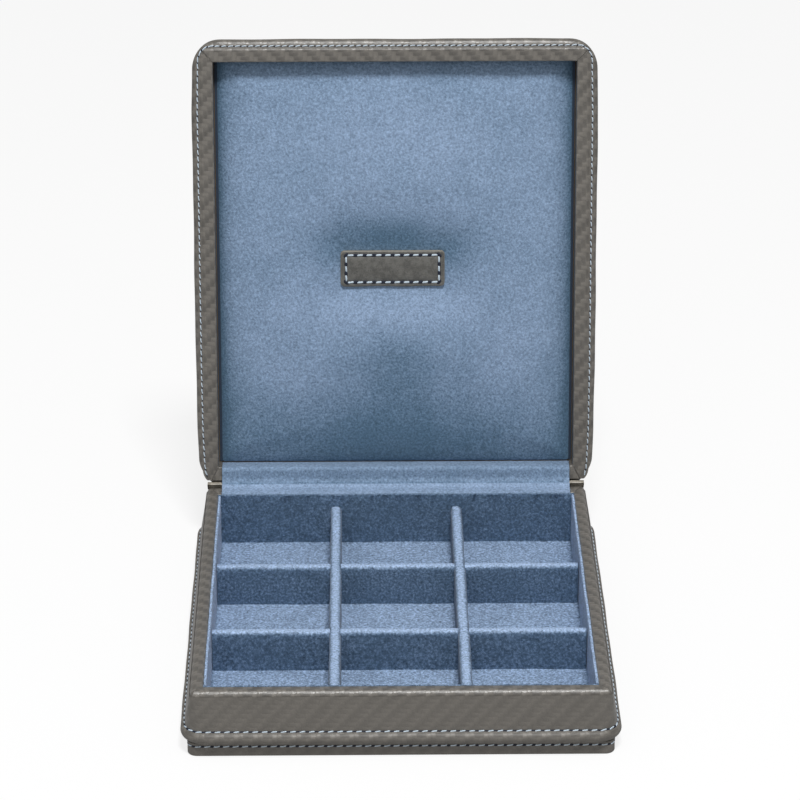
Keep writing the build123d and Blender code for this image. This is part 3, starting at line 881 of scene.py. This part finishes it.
# ---- stitches ----
class StitchTree(NodeBuilder):
    """Geometry nodes that lay threads, and dark marks that paint the shade of needle holes, along a
    path.
    """

    def __init__(self):
        super().__init__(bpy.data.node_groups.new("stitched line", "GeometryNodeTree"))
        self.keys = {}
        self.add_socket("Path", "NodeSocketGeometry")
        self.add_socket("Stitches", "NodeSocketInt")
        for name in ("Thread length", "Thread thickness", "Lift", "Rise", "Hole size"):
            self.add_socket(name, "NodeSocketFloat")
        self.add_socket("Seed", "NodeSocketInt")
        self.tree.interface.new_socket(
            "Stitched", in_out="OUTPUT", socket_type="NodeSocketGeometry"
        )
        given = self.tree.nodes.new("NodeGroupInput").outputs
        self.given = {name: Wire(self, given[name]) for name in self.keys}
        self.build()

    def add_socket(self, name, kind):
        socket = self.tree.interface.new_socket(name, in_out="INPUT", socket_type=kind)
        self.keys[name] = socket.identifier

    def thread(self):
        """One arched thread along X, with its ends sunk into the leather."""
        reach = self.given["Thread length"] * 0.5
        sunk = self.given["Lift"] * -0.8
        ends = {
            "Resolution": 6, "Start": self.vector(reach * -1.0, 0.0, sunk),
            "Middle": self.vector(0.0, 0.0, self.given["Lift"] * 2.2),
            "End": self.vector(reach, 0.0, sunk)
        }
        line = self.node("GeometryNodeCurveQuadraticBezier", None, ends)
        radius = self.given["Thread thickness"] * 0.5
        section = self.node(
            "GeometryNodeCurvePrimitiveCircle", None, {"Resolution": 7, "Radius": radius}
        )
        sockets = {"Curve": line, "Profile Curve": section, "Fill Caps": True}
        return self.node("GeometryNodeCurveToMesh", None, sockets)

    def hole(self):
        ball = self.node(
            "GeometryNodeMeshUVSphere", None,
            {"Segments": 8, "Rings": 5, "Radius": self.given["Hole size"]}
        )
        sockets = {"Geometry": ball, "Scale": (1.7, 0.95, 0.4)}
        return self.node("GeometryNodeTransform", None, sockets)

    def build(self):
        line = self.node("GeometryNodeMeshToCurve", None, {"Mesh": self.given["Path"]})
        count = self.given["Stitches"] * 2.0
        line = self.node(
            "GeometryNodeResampleCurve", {"mode": "COUNT"}, {"Curve": line, "Count": count}
        )
        settings = {"mode": "EVALUATED"}
        points = self.node("GeometryNodeCurveToPoints", settings, {"Curve": line})
        along = Wire(self, points.socket.node.outputs["Tangent"])
        away = self.node(
            "GeometryNodeInputNamedAttribute", {"data_type": "FLOAT_VECTOR"}, {"Name": "away"}
        )
        kind = "FunctionNodeAlignRotationToVector"
        turned = self.node(kind, {"axis": "X"}, {"Vector": along})
        turned = self.node(
            kind, {"axis": "Z", "pivot_axis": "X"}, {"Rotation": turned, "Vector": away}
        )
        wobble = self.node(
            "FunctionNodeRandomValue", {"data_type": "FLOAT"},
            {2: -0.05, 3: 0.05, "Seed": self.given["Seed"]}, output=1
        )
        rise = self.given["Rise"] + wobble
        lean = self.node("FunctionNodeEulerToRotation", None, {0: self.vector(0.0, 0.0, rise)})
        turned = self.node(
            "FunctionNodeRotateRotation", {"rotation_space": "LOCAL"},
            {"Rotation": turned, "Rotate By": lean}
        )
        index = self.node("GeometryNodeInputIndex")
        is_thread = index.maths("MODULO", 2.0)
        laid = []
        for shape, chosen, material in (
            (self.thread(), is_thread, thread_finish), (self.hole(), 1.0 - is_thread, hole_shade_finish)
        ):
            sockets = {"Points": points, "Selection": chosen, "Instance": shape, "Rotation": turned}
            copies = self.node("GeometryNodeInstanceOnPoints", None, sockets)
            real = self.node("GeometryNodeRealizeInstances", None, {0: copies})
            smooth = self.node("GeometryNodeSetShadeSmooth", None, {0: real})
            laid.append(
                self.node("GeometryNodeSetMaterial", None, {0: smooth, "Material": material})
            )
        joined = self.tree.nodes.new("GeometryNodeJoinGeometry")
        for piece in laid:
            self.fill(joined.inputs[0], piece)
        out = self.tree.nodes.new("NodeGroupOutput")
        self.fill(out.inputs[0], Wire(self, joined.outputs[0]))

    def lay(self, path, away, half, rise, seed, closed=True, pitch=stitch_pitch, length=2.0,
            thickness=0.5, lift=0.15, hole=0.58):
        """Stitch along a path of points in a half's coordinates. Sizes are in mm."""
        mesh = bpy.data.meshes.new("stitch path")
        count = len(path)
        edges = [(index, (index + 1) % count) for index in range(count if closed else count - 1)]
        stitches = round(running_length(path)[1] / pitch)
        stitches -= stitches % 2
        placed = [half.matrix @ Vector(point) for point in path]
        turn = half.matrix.to_3x3()
        directions = [(turn @ Vector(direction)).normalized() for direction in away]
        mesh.from_pydata(placed, edges, [])
        attribute = mesh.attributes.new("away", "FLOAT_VECTOR", "POINT")
        attribute.data.foreach_set("vector", np.array(directions, np.float32).ravel())
        obj = new_object("stitch path", mesh)
        modifier = obj.modifiers.new("stitches", "NODES")
        modifier.node_group = self.tree
        sizes = {
            "Stitches": stitches, "Thread length": length * MM, "Thread thickness": thickness * MM,
            "Lift": lift * MM, "Rise": rise, "Hole size": hole * MM, "Seed": seed
        }
        for name, value in sizes.items():
            modifier[self.keys[name]] = value
        laid = evaluated(obj)
        bpy.data.objects.remove(obj)
        return laid


def join_meshes(name, meshes):
    """One object from several meshes that share their materials."""
    objects = [new_object(name, mesh) for mesh in meshes]
    if len(objects) == 1:
        return objects[0]
    with bpy.context.temp_override(
        active_object=objects[0], selected_editable_objects=objects, object=objects[0]
    ):
        bpy.ops.object.join()
    objects[0].name = name
    return objects[0]


def ring_path(reach, rear, corner, depth):
    loop = round_opening(reach, rear, corner)
    return np.column_stack([loop, np.full(len(loop), depth)])


def path_away(loop_path, tilt):
    """Directions off the surface: tilt 0 points out of the box and 90 back up to the rim."""
    out = outward(loop_path[:, :2])
    lean = radians(tilt)
    return np.column_stack([out * cos(lean), np.full(len(out), -sin(lean))])


stitcher = StitchTree()
stitch_rise = radians(9)
base_seam = ring_path(seam_reach - 0.05, seam_reach_rear - 0.16, seam_corner, foot_depth - 0.02)
base_seam[:, 0] += side_bow(base_seam)
plinth_seam = ring_path(
    plinth_reach - 0.12, plinth_reach - 0.12, plinth_corner, wall_depth + plinth_stitch_drop
)
base_stitches = join_meshes(
    "base_stitches",
    [
        stitcher.lay(base_seam, path_away(base_seam, 35), base, stitch_rise, 3),
        stitcher.lay(
            plinth_seam, path_away(plinth_seam, 0), base, stitch_rise, 5, thickness=0.44, hole=0.46
        )
    ]
)
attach(base_stitches, "base")
lid_seam = ring_path(seam_reach - 0.05, seam_reach_rear - 0.05, seam_corner, seam_drop + 0.14)
lid_seam[:, 0] += corner_draw(lid_seam)
hinge_end = corner_steps * 3 // 4
lid_seam = lid_seam[corner_starts[0] + hinge_end:corner_starts[3] + corner_steps - hinge_end]
lid_away = path_away(lid_seam, 55)
lid_stitches = stitcher.lay(
    lid_seam, lid_away, lid, stitch_rise, 7, closed=False, thickness=0.42, hole=0.36
)
lid_stitches = join_meshes("lid_stitches", [lid_stitches])
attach(lid_stitches, "lid")


# ---- velvet tray ----
def shade_by_facing(obj, shaded_end, lit_end):
    """Painted shade by facing: faces that look up are painted lit, upright faces shaded.

    The value runs from shaded_end on upright faces to lit_end on faces that look straight up; 1
    paints the lit velvet colour and 0 the shaded one.
    """
    mesh = obj.data
    normals = np.zeros(len(mesh.vertices) * 3, np.float32)
    mesh.vertex_normals.foreach_get("vector", normals)
    up = np.clip(normals.reshape(-1, 3)[:, 2], 0, 1)
    set_values(mesh, "painted_shading", shaded_end + (lit_end - shaded_end) * up**2.5)


def strip_mesh(name, length, thickness, low, high, rounding, notches=(), seed=0):
    """A padded strip along Y with a rounded top. Notches are (y, width, low, high) gaps."""
    steps = int(length / 0.9)
    edges = [y + side * width / 2 for y, width, _, _ in notches for side in (-1, 1)]
    ys = np.linspace(-length / 2, length / 2, steps + 1)
    ys = np.unique(np.concatenate([ys, np.array(edges) - 1e-3, np.array(edges) + 1e-3]))
    turns = np.radians(np.linspace(0, 180, 13))
    half = thickness / 2
    fuzz = np.random.default_rng(seed + 20)
    flat = half - rounding
    around_x = np.sign(np.cos(turns)) * flat + rounding * np.cos(turns)
    around_z = rounding * np.sin(turns)
    sides = np.linspace(0, 1, 7)[:-1]
    profile_x = np.concatenate([np.full(6, half), around_x, np.full(6, -half)])
    share = np.concatenate([sides, np.ones(13), sides[::-1]])
    lift = np.concatenate([np.zeros(6), around_z, np.zeros(6)])
    rows = []
    for y in ys:
        bottom, top, crest = low, high - rounding, 1.0
        for centre, width, gap_low, gap_high in notches:
            if abs(y - centre) < width / 2:
                if gap_low <= low:
                    bottom = gap_high
                else:
                    top, crest = gap_low, 0.0
        wave = 0.05 * sin(y / 5.1 + seed) + 0.04 * sin(y / 2.3 + 2 * seed)
        side_wave = 0.06 * sin(y / 7.7 + 3 * seed)
        z = bottom + (top - bottom) * share + lift * crest + wave * share * crest
        tuft = fuzz.uniform(-1, 1, (2, len(z))) * share**8 * crest
        x = profile_x + side_wave + 0.10 * tuft[0]
        rows.append(np.stack([x, np.full(len(z), y), z + 0.07 * tuft[1]], 1))
    count = len(profile_x)
    points = np.concatenate(rows)
    *_, quads = ring_quads(len(ys), count)
    mesh = bpy.data.meshes.new(name)
    ends = [list(range(count)), list(range((len(ys) - 1) * count, len(ys) * count))]
    mesh.from_pydata(points.tolist(), [], quads.tolist() + ends)
    return mesh


def velvet_piece(name, node, mesh, place=Matrix(), shaded_end=0.0, lit_end=1.0):
    """One piece of the tray, in velvet, for the node that it replaces, painted darker on upright
    faces and lighter on level ones.
    """
    mesh.transform(to_metres @ place)
    tidy(mesh, 1e-7)
    shade_soft(mesh, 50)
    obj = new_object(name, mesh, tray_velvet)
    shade_by_facing(obj, shaded_end, lit_end)
    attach(obj, "base")
    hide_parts(node)
    return obj


tray_width = inner_width - 2 * liner
tray_depth = inner_depth - 2 * liner
lap_level = (floor_level + divider_top) / 2
quarter = Matrix.Rotation(-pi / 2, 4, "Z")
divider_rounding = 1.7
sides = (("left", -1), ("right", 1))
ends = (("front", -1), ("rear", 1))
# The shaded_end and lit_end given to each piece set how dark its velvet is painted.
for side, sign in sides:
    gaps = [(y, divider, floor_level, lap_level) for y in (-divider_y, divider_y)]
    strip = strip_mesh(
        "long_strip", tray_depth, divider, floor_level, divider_top, divider_rounding, gaps,
        1 + sign
    )
    place = Matrix.Translation((sign * divider_x, 0, 0))
    velvet_piece(f"long_strip_{side}", f"long_divider_{side}", strip, place)
for side, sign in ends:
    gaps = [(y, divider - 0.4, lap_level, divider_top) for y in (-divider_x, divider_x)]
    strip = strip_mesh(
        "cross_strip", tray_width, divider, floor_level, divider_top, divider_rounding, gaps,
        5 + sign
    )
    place = Matrix.Translation((0, sign * divider_y, 0)) @ quarter
    velvet_piece(f"cross_strip_{side}", f"cross_divider_{side}", strip, place, 0.05, 1.3)
seen = liner - liner_pile    # what the pile leaves of a liner's thickness
for side, sign in sides:
    strip = strip_mesh("liner_strip", tray_depth, seen, floor_level, liner_top, 0.4, (), 9 + sign)
    place = Matrix.Translation((sign * (half_width - seen / 2), 0, 0))
    velvet_piece(f"liner_{side}", f"tray_{side}_liner", strip, place, 0.8, 0.9)
for side, sign in ends:
    strip = strip_mesh("liner_strip", inner_width, seen, floor_level, liner_top, 0.4, (), 13 + sign)
    place = Matrix.Translation((0, sign * (half_depth - seen / 2), 0)) @ quarter
    velvet_piece(f"liner_{side}", f"tray_{side}_liner", strip, place, 0.0, 0.25)


def plate_mesh(name, half_x, half_y, back, front, step):
    """A closed plate: a grid of heights front(x, y) over a flat back."""
    xs = np.linspace(-half_x, half_x, int(2 * half_x / step) + 1)
    ys = np.linspace(-half_y, half_y, int(2 * half_y / step) + 1)
    grid_x, grid_y = np.meshgrid(xs, ys, indexing="ij")
    face = np.stack([grid_x, grid_y, front(grid_x, grid_y)], 2).reshape(-1, 3)
    rear = np.stack([grid_x, grid_y, np.full_like(grid_x, back)], 2).reshape(-1, 3)
    rows, columns = grid_x.shape
    index = np.arange(rows * columns).reshape(rows, columns)
    quads = np.stack([index[:-1, :-1], index[1:, :-1], index[1:, 1:], index[:-1, 1:]], -1)
    quads = quads.reshape(-1, 4)
    rim = np.concatenate([index[:, 0], index[-1, 1:], index[-2::-1, -1], index[0, -2:0:-1]])
    after = np.roll(rim, -1)
    total = rows * columns
    walls = np.stack([rim, after, after + total, rim + total], 1)
    faces = np.concatenate([quads, quads[:, ::-1] + total, walls])
    return build_mesh(name, np.concatenate([face, rear]), faces)


def floor_height(x, y):
    """The floor turns up softly against every wall and divider."""
    to_walls = np.minimum(tray_width / 2 - np.abs(x), tray_depth / 2 - np.abs(y))
    to_long = np.abs(np.abs(x) - divider_x) - divider / 2
    to_cross = np.abs(np.abs(y) - divider_y) - divider / 2
    nearest = np.clip(np.minimum(to_walls, np.minimum(to_long, to_cross)), 0, None)
    ripple = 0.05 * np.sin(x / 6.1 + 1) * np.sin(y / 5.3)
    return floor_level + 0.35 * np.exp(-nearest / 0.6) + ripple


floor_low = corners("tray_floor_pad")[0][2]
floor_mesh = plate_mesh(
    "tray_floor", tray_width / 2 + 0.3, tray_depth / 2 + 0.3, floor_low, floor_height, 0.9
)
tray_floor = velvet_piece("tray_floor", "tray_floor_pad", floor_mesh, lit_end=0.62)


# ---- lid cushion ----
cushion_half_x = half_width - 1.2
cushion_half_y = half_depth - 0.1


def dimple(x, y):
    """The pull of the patch: full under it, and gone some way round it."""
    beyond_x = np.clip(np.abs(x - patch_x) - patch_width / 2 + 1, 0, None) / 17
    beyond_y = np.clip(np.abs(y - patch_y) - patch_height / 2 + 1, 0, None) / 23
    fade = np.clip(np.hypot(beyond_x, beyond_y), 0, 1)
    return dimple_depth * (0.5 + 0.5 * np.cos(pi * fade)) ** 1.3


def cushion_depth(x, y):
    """Crowned in both directions, rolled over at its edges and pulled in by the patch."""
    share_x = np.abs(x) / cushion_half_x
    share_y = np.abs(y) / cushion_half_y
    crown = cushion_crown * (1 - share_x**2.4) * (1 - 0.9 * share_y**2.2)
    to_edge = np.minimum(cushion_half_x - np.abs(x), cushion_half_y - np.abs(y))
    roll_width, roll_drop = 3.0, 1.45
    turned = np.clip(1 - to_edge / roll_width, 0, 1)
    drop = roll_drop * (1 - np.sqrt(1 - turned**2))
    return cushion_edge - crown + drop + dimple(x, y)


def stuffed(obj):
    """Swell the pad a little under pressure, held at its back and under the patch."""
    mesh = obj.data
    rest = coordinates(mesh)
    x, y, depth = rest.T / MM
    under_patch = (np.abs(x - patch_x) < patch_width / 2) & (np.abs(y - patch_y) < patch_height / 2)
    held = (depth > cushion_back - 0.9) | under_patch
    group = obj.vertex_groups.new(name="held")
    group.add(np.flatnonzero(held).tolist(), 1.0, "REPLACE")
    cloth = obj.modifiers.new("stuffing", "CLOTH")
    cloth.settings.vertex_group_mass = "held"
    cloth.settings.use_pressure = True
    cloth.settings.uniform_pressure_force = 4.0
    cloth.settings.effector_weights.gravity = 0.0
    cloth.settings.quality = 6
    cloth.point_cache.frame_start = 1
    cloth.point_cache.frame_end = 20
    scene = bpy.context.scene
    for step in range(1, 21):
        scene.frame_set(step)
    swollen = coordinates(evaluated(obj))
    obj.modifiers.clear()
    scene.frame_set(1)
    move = swollen - rest
    far = np.linalg.norm(move, axis=1)
    cap = 0.9 * MM
    move *= np.where(far > cap, cap / np.maximum(far, 1e-9), 1.0)[:, None]
    mesh.vertices.foreach_set("co", (rest + move).ravel())
    mesh.update()
    smooth = obj.modifiers.new("ease", "SMOOTH")
    smooth.factor = 0.5
    smooth.iterations = 3
    smooth.vertex_group = "held"
    smooth.invert_vertex_group = True
    finer = obj.modifiers.new("finer", "SUBSURF")
    finer.levels = 1
    finer.render_levels = 1
    obj.data = evaluated(obj)
    obj.modifiers.clear()


cushion_mesh = plate_mesh(
    "lid_pad", cushion_half_x, cushion_half_y, cushion_back, cushion_depth, 1.8
)
tidy(cushion_mesh)
cushion_mesh.transform(to_metres)
lid_pad = new_object("lid_pad", cushion_mesh)
stuffed(lid_pad)
pad_x, pad_y, _ = coordinates(lid_pad.data).T / MM
lid_pad.data.transform(Matrix.Scale(1 / MM, 4))
settle(lid_pad.data, lid, angle=70)
dress(lid_pad.data, lid_velvet)


def spot(x, y, width, height):
    """A soft round spot on the pad: 1 in its middle and 0 away from it."""
    return np.exp(-(((pad_x - x) / width) ** 2) - ((pad_y - y) / height) ** 2)


# Painted light and shade on the pad, in the lid's own y that grows towards the hinge: darker
# towards the hinge, a painted shadow over the patch with painted light just under it, painted shade
# along the left and right edges, and a painted shadow under the top rim.
painted_shading = 0.66 - 0.30 * np.clip((pad_y - 18) / 48, 0, 1) + 0.10 * spot(0, -50, 40, 22)
painted_shading -= 0.28 * spot(0, 42, 15, 26) + 0.35 * spot(0, 74, 50, 16)
painted_shading += 0.16 * (spot(-40, 38, 18, 22) + spot(42, 36, 16, 22)) + 0.34 * spot(-1, 18, 26, 9)
painted_shading -= 0.60 * spot(-1, -9, 25, 9) + 0.22 * spot(-24, -4, 8, 7) + 0.22 * spot(22, -4, 8, 7)
painted_shading -= 0.75 * np.exp(-(cushion_half_x - np.abs(pad_x)) / 2.6)
painted_shading -= 0.25 * np.exp(-(cushion_half_y + pad_y) / 7)
set_values(lid_pad.data, "painted_shading", painted_shading)
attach(lid_pad, "lid")
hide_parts("lid_cushion")


# ---- stitched patch ----
def patch_loop(inset):
    half_x = patch_width / 2 - inset
    half_y = patch_height / 2 - inset
    corner = min(max(1.5 - inset * 0.6, 0.3), half_y)
    return rounded(half_x, -half_y, half_y, corner) + np.array([patch_x, patch_y])


def patch_mesh():
    """A bare tab with a raised middle, a stitched groove and a cut edge."""
    stitch_inset = 1.9
    edge_wave = 0.12
    rows = [(0.0, 1.2), (0.0, 0.35), (0.12, 0.1), (0.35, 0.0), (0.9, -0.02), (1.4, 0.04)]
    rows += [(stitch_inset - 0.2, 0.16), (stitch_inset, 0.2), (stitch_inset + 0.2, 0.16)]
    rows += [(2.4, 0.02), (3.0, -0.12), (4.0, -0.2), (5.2, -0.24), (6.4, -0.25)]
    rows += [(patch_height / 2 - 0.02, -0.25)]
    loops = []
    for inset, sunk in rows:
        loop = patch_loop(inset)
        fade = max(0, 1 - inset / 2)
        low_side = loop[:, 1] > patch_y
        wave = edge_wave * np.sin(loop[:, 0] / 3.1 + 0.7) * fade * low_side
        ripple = 0.03 * np.sin(loop[:, 0] / 2.2) * np.cos(loop[:, 1] / 2.9)
        loops.append(np.column_stack([loop[:, 0], loop[:, 1] + wave, patch_face + sunk + ripple]))
    points = np.stack(loops)
    rows_count, count = points.shape[:2]
    *_, quads = ring_quads(rows_count, count)
    mesh = bpy.data.meshes.new("patch")
    mesh.from_pydata(points.reshape(-1, 3).tolist(), [], quads.tolist() + [list(range(count))])
    edge = np.repeat(np.array([max(0.0, 1 - inset / 0.35) for inset, _ in rows]), count)
    set_values(mesh, "cut_edge", edge)
    return mesh


patch_piece = new_object("bare_patch", patch_mesh(), patch_leather)
tidy(patch_piece.data, 1e-3)
settle(patch_piece.data, lid, angle=50)
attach(patch_piece, "lid")
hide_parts("name_patch")
seam_half_x, seam_half_y = 17.5, 5.25
patch_seam = np.array(
    [
        (patch_x + side_x * seam_half_x, patch_y + side_y * seam_half_y, patch_face + 0.12)
        for side_x, side_y in ((1, 1), (-1, 1), (-1, -1), (1, -1))
    ]
)
patch_away = np.tile([0.0, 0.0, -1.0], (len(patch_seam), 1))
patch_stitches = join_meshes(
    "patch_stitches",
    [
        stitcher.lay(
            patch_seam, patch_away, lid, radians(4), 11, pitch=3.5, length=2.3, thickness=0.7,
            hole=0.78
        )
    ]
)
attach(patch_stitches, "lid")


# ---- velvet flap and leather spine over the hinge ----
def smooth_path(points, steps):
    """A rounded line through given points (Catmull-Rom)."""
    points = np.array([points[0], *points, points[-1]], float)
    share = np.linspace(0, 1, steps, endpoint=False)[:, None]
    runs = []
    for before, first, second, later in zip(points, points[1:], points[2:], points[3:]):
        runs.append(
            0.5
            * (
                2 * first
                + (second - before) * share
                + (2 * before - 5 * first + 4 * second - later) * share**2
                + (3 * first - before - 3 * second + later) * share**3
            )
        )
    return np.concatenate([*runs, points[-1:]])


def across_box(name, section, half_x, step, waviness):
    """A sheet with the same section all the way across, a little uneven."""
    hem = 0.15
    xs = np.linspace(hem - half_x, half_x - hem, int(2 * half_x / step) + 1)
    xs = np.concatenate([[-half_x], xs, [half_x]])
    section = np.asarray(section)
    ahead = np.gradient(section, axis=0)
    side = np.stack([-ahead[:, 1], ahead[:, 0]], 1)
    side /= np.linalg.norm(side, axis=1)[:, None]
    share = np.linspace(0, 1, len(section))
    rows = []
    for x in xs:
        wave = waviness * np.sin(x / 9.0 + 4 * share) + 0.6 * waviness * np.sin(x / 3.7 - 7 * share)
        place = section + side * (wave * np.sin(pi * share))[:, None]
        rows.append(np.column_stack([np.full(len(place), x), place]))
    count = len(section)
    row, place = np.meshgrid(np.arange(len(xs) - 1), np.arange(count - 1), indexing="ij")
    first = (row * count + place).ravel()
    faces = np.stack([first, first + count, first + count + 1, first + 1], 1)
    length = np.concatenate([[0], np.cumsum(np.linalg.norm(np.diff(section, axis=0), axis=1))])
    u = np.repeat(xs, count)
    v = np.tile(length, len(xs))
    uv = np.stack([u[faces], v[faces]], 2)
    mesh = build_mesh(name, np.concatenate(rows), faces, uv)
    mesh.polygons.foreach_set("use_smooth", [True] * len(mesh.polygons))
    return mesh, length[-1]


def lid_section_point(y, depth):
    """A point of the lid's own section, as (y, z) with the lid open."""
    place = lid.matrix @ Vector((0, y, depth))
    return place.y / MM, place.z / MM


on_base = [(0.2, -7.8), (0.2, -2.0), (0.25, -0.5), (0.8, -0.02), (3.0, 0.02), (5.2, 0.2)]
by_hinge = [(-1.05, 0.72), (-0.86, 0.93), (-0.62, 1.15), (0.15, 2.0)]
on_lid = [(4.4, 0.0), (2.6, 0.0), (1.2, 0.12), (0.4, 0.95), (0.2, 2.6), (0.2, 7.4)]
flap_points = [(half_depth + y, base_height + z) for y, z in on_base]
flap_points += [(pivot_y + y, pivot_z + z) for y, z in by_hinge]
flap_points += [lid_section_point(half_depth + y, depth) for y, depth in on_lid]
flap_section = smooth_path(flap_points, 8)
flap_mesh, flap_length = across_box("hinge_velvet", flap_section, flap_half_width, 1.2, 0.06)
flap_mesh.transform(to_metres)
hinge_velvet = new_object("hinge_velvet", flap_mesh, lid_velvet)
# Painted light and shade along the flap, by height over the hinge: light where it lies on the
# base's rim, dark at its crease, middling up the lid.
flap_z = coordinates(flap_mesh)[:, 2] / MM - pivot_z
flap_levels = [-1.0, 0.3, 0.8, 1.15, 1.5, 5.0, 6.6]
flap_painted_shading = np.interp(flap_z, flap_levels, [0.4, 0.9, 0.85, 0.3, 0.52, 0.5, 0.55])
set_values(flap_mesh, "painted_shading", flap_painted_shading)
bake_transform(hinge_velvet)
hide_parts("hinge_flap_base", "hinge_flap_lid")

spine_points = []
for turn in np.radians(np.linspace(-96, 140, 34)):
    radius = 1.45 + 0.5 * np.exp(-((turn + 0.85) / 0.6) ** 2)
    spine_points.append((pivot_y + radius * cos(turn), pivot_z + radius * sin(turn)))
spine_end = spine_half_width + 0.4
spine_mesh, _ = across_box("hinge_spine", spine_points, spine_end, 1.2, 0.03)
for vertex in spine_mesh.vertices:
    away = Vector((vertex.co.y - pivot_y, vertex.co.z - pivot_z))
    share = 1.0
    if abs(vertex.co.x) > spine_end - 0.01:    # tucked in at its ends
        share = 0.1
    elif abs(vertex.co.x) < flap_half_width + 0.2 and away.y > -0.3:    # pressed by the flap
        share = 0.6
    vertex.co.y = pivot_y + away.x * share
    vertex.co.z = pivot_z + away.y * share
spine_mesh.transform(to_metres)
hinge_spine = new_object("hinge_spine", spine_mesh, spine_leather)
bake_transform(hinge_spine)
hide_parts("spine_leather_base", "spine_leather_lid")

# ---- finishes of the pieces that stay as they are ----
kept = {
    "board": board_card, "panel": board_card, "padding": foam, "felt": felt, "leaf": steel,
    "pin": steel, "lining": lining_cloth
}
for name, node in frame["nodes"].items():
    for word, material in kept.items():
        if word in name.split("_"):
            dress(node.data, material)

# ---- floor, light and camera ----
floor_finish = Finish("floor", roughness=0.9, specular_ior_level=0.0)
by_camera = floor_finish.node("ShaderNodeLightPath")
pale, dim = (0.92, 0.92, 0.92, 1.0), (0.5, 0.5, 0.5, 1.0)
floor_finish.set("Base Color", floor_finish.mix(by_camera, dim, pale))
glow = floor_finish.node("ShaderNodeEmission", None, {"Color": (1, 1, 1, 1), "Strength": 1.0})
output = floor_finish.tree.nodes["Material Output"]
lit = Wire(floor_finish, floor_finish.surface.outputs[0])
shown = floor_finish.node("ShaderNodeMixShader", None, {0: by_camera * 0.8, 1: lit, 2: glow})
floor_finish.fill(output.inputs["Surface"], shown)
floor_half = 3.0
floor_corners = [(-1, -1, 0), (1, -1, 0), (1, 1, 0), (-1, 1, 0)]
floor_plane = build_mesh("floor", floor_half * np.array(floor_corners), [(0, 1, 2, 3)])
stage_floor = new_object("floor", floor_plane, floor_finish.material)

world = bpy.data.worlds.new("studio")
bpy.context.scene.world = world
world.use_nodes = True
background = world.node_tree.nodes["Background"]
background.inputs["Color"].default_value = (1, 1, 1, 1)
sky = NodeBuilder(world.node_tree)
brightness = {"Value": sky.node("ShaderNodeLightPath"), "To Min": 0.34, "To Max": 1.0}
sky.fill(background.inputs["Strength"], sky.node("ShaderNodeMapRange", None, brightness))


def soft_light(name, azimuth, elevation, distance, size, power):
    """A square lamp that faces the middle of the box."""
    light = bpy.data.lights.new(name, "AREA")
    light.shape = "SQUARE"
    light.size = size
    light.energy = power
    lamp = new_object(name, light)
    aim = Vector((0, 0, 0.08))
    turn, rise = radians(azimuth), radians(elevation)
    away = Vector((sin(turn) * cos(rise), -cos(turn) * cos(rise), sin(rise)))
    lamp.location = aim + away * distance
    lamp.rotation_euler = away.to_track_quat("Z", "Y").to_euler()


soft_light("key", 8, 66, 1.8, 0.36, 26)
soft_light("front fill", -20, 22, 2.2, 1.2, 5)

frame_pixels = 800
focal_pixels = 3662.45
camera_azimuth = radians(-0.696)
camera_elevation = radians(23.364)
sensor = 36.0
camera_data = bpy.data.cameras.new("camera")
camera_data.sensor_width = sensor
camera_data.lens = focal_pixels / frame_pixels * sensor
camera_data.clip_start = 0.05
camera = new_object("camera", camera_data)
camera.location = Vector((-13.852, -1185.386, 608.391)) * MM
camera.rotation_euler = (pi / 2 - camera_elevation, 0, camera_azimuth)
bpy.context.scene.camera = camera
bpy.context.scene.view_settings.view_transform = "Standard"
